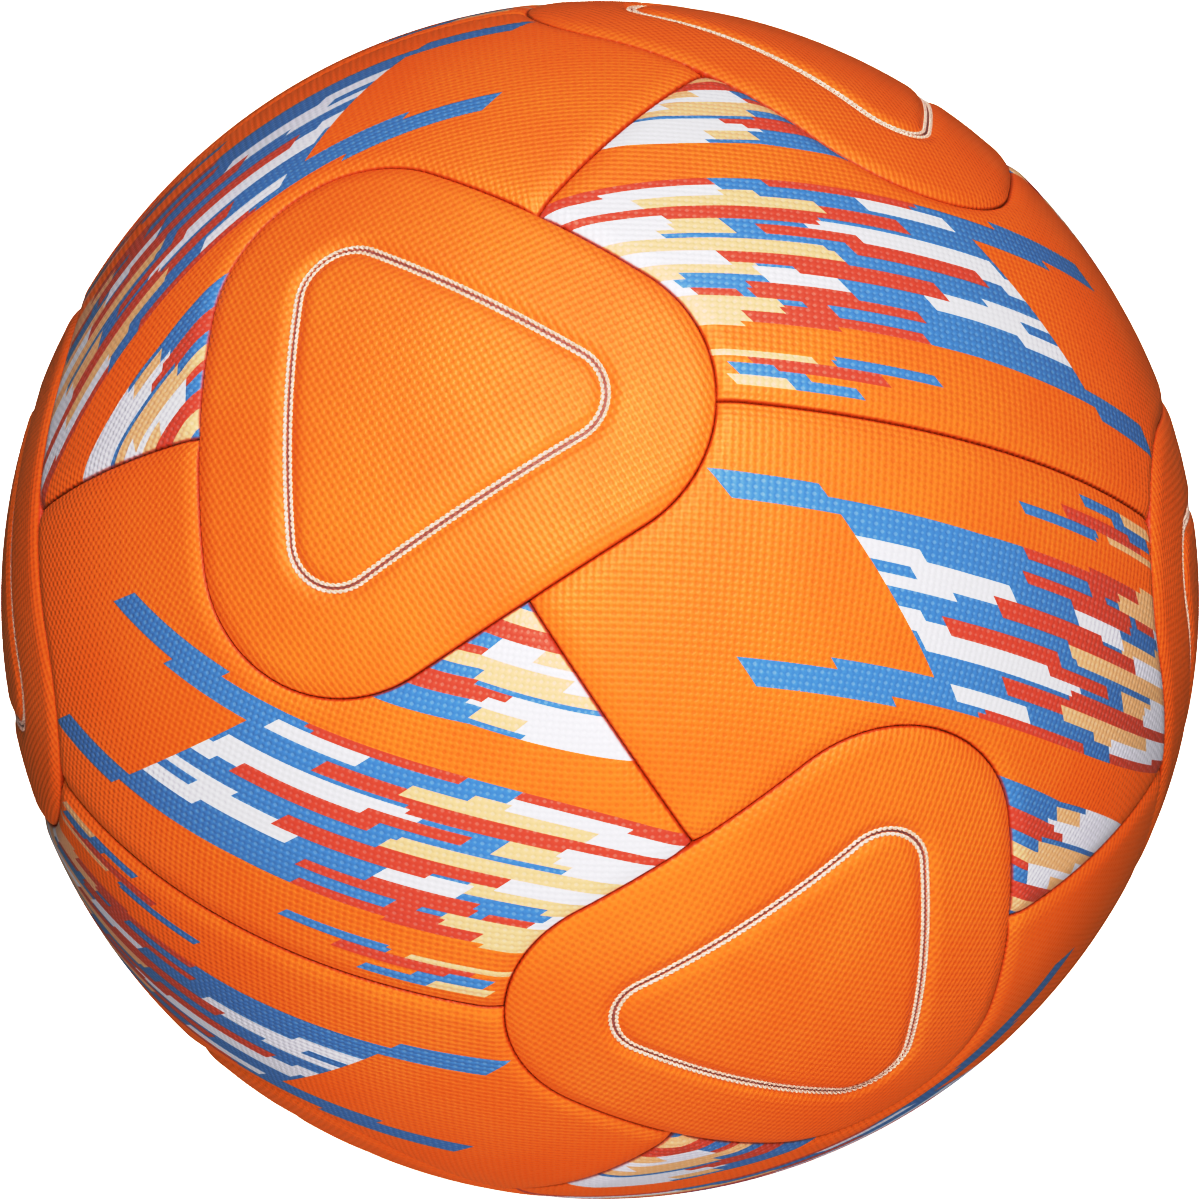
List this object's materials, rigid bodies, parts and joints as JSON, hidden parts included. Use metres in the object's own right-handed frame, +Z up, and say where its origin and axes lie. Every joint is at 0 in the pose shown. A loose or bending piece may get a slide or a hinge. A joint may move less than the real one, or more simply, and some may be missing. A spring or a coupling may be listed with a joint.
{
  "type": "soccer ball",
  "caption": "Full-size soccer ball: bonded triangular and large curved panels over foam backings, a wound carcass and a bladder with an inflation valve.",
  "frame": {"origin": "the ball's centre", "axes": "+Z up as the ball lies, -Y towards the side that is seen first, +X to that side's right"},
  "size_m": [0.22, 0.22, 0.22],
  "materials": {
    "corner_skin": "satin orange synthetic leather",
    "large_skin": "satin orange synthetic leather with a printed pattern",
    "thread": "twisted white thread",
    "foam": "matte closed-cell foam",
    "carcass": "yarn wound in latex",
    "bladder": "matte butyl rubber",
    "valve_rubber": "matte butyl rubber",
    "valve_core": "satin silicone rubber"
  },
  "bodies": {
    "root": {"corner_panel_1": "corner_skin", "corner_panel_2": "corner_skin", "corner_panel_3": "corner_skin", "corner_panel_4": "corner_skin", "corner_panel_5": "corner_skin", "corner_panel_6": "corner_skin", "corner_panel_7": "corner_skin", "corner_panel_8": "corner_skin", "large_panel_01": "large_skin", "large_panel_02": "large_skin", "large_panel_03": "large_skin", "large_panel_04": "large_skin", "large_panel_05": "large_skin", "large_panel_06": "large_skin", "large_panel_07": "large_skin", "large_panel_08": "large_skin", "large_panel_09": "large_skin", "large_panel_10": "large_skin", "large_panel_11": "large_skin", "large_panel_12": "large_skin", "corner_stitching_1": "thread", "corner_stitching_2": "thread", "corner_stitching_3": "thread", "corner_stitching_4": "thread", "corner_stitching_5": "thread", "corner_stitching_6": "thread", "corner_stitching_7": "thread", "corner_stitching_8": "thread", "corner_foam_1": "foam", "corner_foam_2": "foam", "corner_foam_3": "foam", "corner_foam_4": "foam", "corner_foam_5": "foam", "corner_foam_6": "foam", "corner_foam_7": "foam", "corner_foam_8": "foam", "large_foam_01": "foam", "large_foam_02": "foam", "large_foam_03": "foam", "large_foam_04": "foam", "large_foam_05": "foam", "large_foam_06": "foam", "large_foam_07": "foam", "large_foam_08": "foam", "large_foam_09": "foam", "large_foam_10": "foam", "large_foam_11": "foam", "large_foam_12": "foam", "carcass": "carcass", "bladder": "bladder", "valve_housing": "valve_rubber", "valve_core": "valve_core", "balance_patch": "bladder"}
  },
  "joints": []
}
